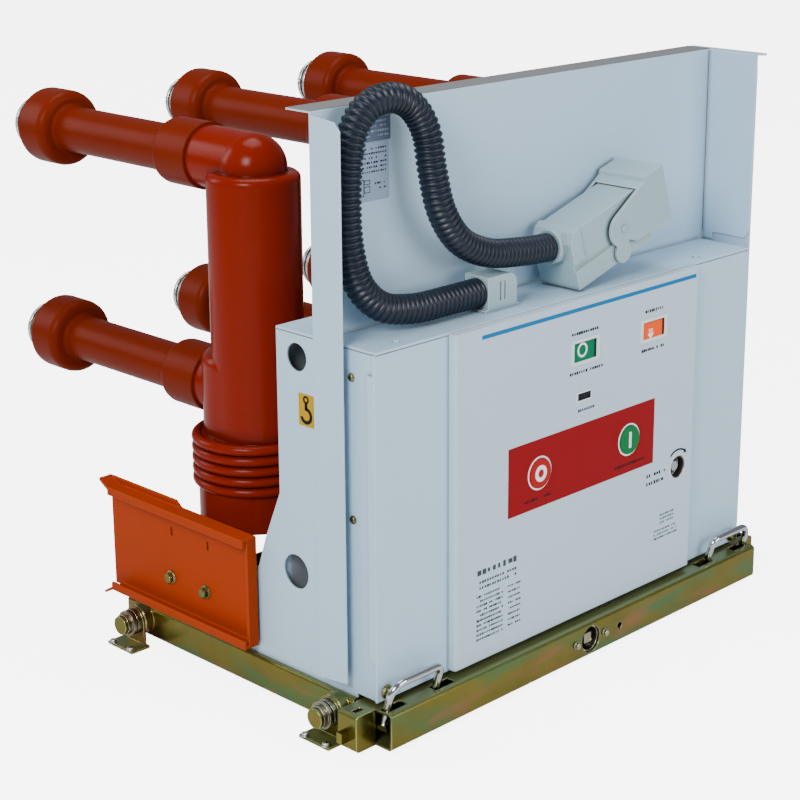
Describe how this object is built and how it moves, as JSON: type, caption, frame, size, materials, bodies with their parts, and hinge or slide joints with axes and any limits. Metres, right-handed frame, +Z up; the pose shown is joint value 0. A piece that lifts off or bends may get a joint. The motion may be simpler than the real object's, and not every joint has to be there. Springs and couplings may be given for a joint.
{
  "type": "vacuum circuit breaker",
  "caption": "Withdrawable medium-voltage vacuum circuit breaker: embedded poles with contact arms, drive housing, shield plate, plug hose and racking truck.",
  "frame": {"origin": "bottom centre of the breaker without its control hose, at the underside of the hook feet", "axes": "+Z up, +Y from the front panel towards the contact arms, +X to the right of somebody facing the panel"},
  "size_m": [0.854, 0.849, 0.813],
  "materials": {
    "zinc": "yellow passivated zinc, slightly iridescent",
    "steel": "plain steel",
    "chrome": "bright chrome",
    "housing": "satin powder coat",
    "panel": "printed film on sheet",
    "red": "gloss",
    "green": "gloss",
    "socket": "turned steel",
    "epoxy": "glossy cast epoxy",
    "sleeve": "glossy insulating sleeve",
    "silver": "silver plated copper",
    "guide": "moulded sheet compound",
    "hose": "corrugated plastic conduit",
    "plug": "powder coated die casting"
  },
  "bodies": {
    "breaker": {"left_rail": "zinc", "right_rail": "zinc", "nut_beam": "zinc", "rear_beam": "zinc", "side_left": "housing", "side_right": "housing", "top_plate": "housing", "rear_plate": "housing", "front_cover": "housing", "label_panel": "panel", "shield_plate": "housing", "pole_left": "epoxy", "pole_middle": "epoxy", "pole_right": "epoxy", "arm_upper_left": "sleeve", "arm_upper_middle": "sleeve", "arm_upper_right": "sleeve", "arm_lower_left": "sleeve", "arm_lower_middle": "sleeve", "arm_lower_right": "sleeve", "tulip_upper_left": "silver", "tulip_upper_middle": "silver", "tulip_upper_right": "silver", "tulip_lower_left": "silver", "tulip_lower_middle": "silver", "tulip_lower_right": "silver", "guide_left": "guide", "guide_right": "guide", "hose_gland": "plug", "control_hose": "hose", "plug_hood": "plug"},
    "front": {"front_beam": "zinc", "beam_end_left": "zinc", "beam_end_right": "zinc", "slide_frame": "zinc"},
    "screw": {"racking_screw": "steel"},
    "handle_l": {"left_handle": "chrome"},
    "handle_r": {"right_handle": "chrome"},
    "wheel_fl": {"wheel_front_left": "steel"},
    "wheel_fr": {"wheel_front_right": "steel"},
    "wheel_rl": {"wheel_rear_left": "steel"},
    "wheel_rr": {"wheel_rear_right": "steel"},
    "off": {"off_button": "red"},
    "on": {"on_button": "green"},
    "charge": {"charge_socket": "socket"},
    "lever": {"plug_lever": "plug"}
  },
  "joints": [
    {"name": "racking", "type": "slide", "parent": "breaker", "child": "front", "axis": [0, -1, 0], "range_m": [0, 0.2]},
    {"name": "screw_turn", "type": "hinge", "parent": "front", "child": "screw", "pos_m": [0, -0.3845, 0.0305], "axis": [0, 1, 0], "continuous": true},
    {"name": "left_handle_slide", "type": "slide", "parent": "front", "child": "handle_l", "axis": [1, 0, 0], "range_m": [0, 0.022], "stiffness_N_per_m": 250},
    {"name": "right_handle_slide", "type": "slide", "parent": "front", "child": "handle_r", "axis": [-1, 0, 0], "range_m": [0, 0.022], "stiffness_N_per_m": 250},
    {"name": "wheel_fl_spin", "type": "hinge", "parent": "breaker", "child": "wheel_fl", "pos_m": [-0.41, -0.3305, 0.034], "axis": [1, 0, 0], "continuous": true},
    {"name": "wheel_fr_spin", "type": "hinge", "parent": "breaker", "child": "wheel_fr", "pos_m": [0.41, -0.3305, 0.034], "axis": [1, 0, 0], "continuous": true},
    {"name": "wheel_rl_spin", "type": "hinge", "parent": "breaker", "child": "wheel_rl", "pos_m": [-0.41, 0.0655, 0.034], "axis": [1, 0, 0], "continuous": true},
    {"name": "wheel_rr_spin", "type": "hinge", "parent": "breaker", "child": "wheel_rr", "pos_m": [0.41, 0.0655, 0.034], "axis": [1, 0, 0], "continuous": true},
    {"name": "off_press", "type": "slide", "parent": "breaker", "child": "off", "axis": [0, 1, 0], "range_m": [0, 0.006], "stiffness_N_per_m": 800},
    {"name": "on_press", "type": "slide", "parent": "breaker", "child": "on", "axis": [0, 1, 0], "range_m": [0, 0.006], "stiffness_N_per_m": 800},
    {"name": "charge_turn", "type": "hinge", "parent": "breaker", "child": "charge", "pos_m": [0.20707, -0.3895, 0.221], "axis": [0, 1, 0], "continuous": true},
    {"name": "lever_swing", "type": "hinge", "parent": "breaker", "child": "lever", "pos_m": [0.09345, -0.3495, 0.58166], "axis": [0, -1, 0], "range_deg": [0, 80]}
  ]
}
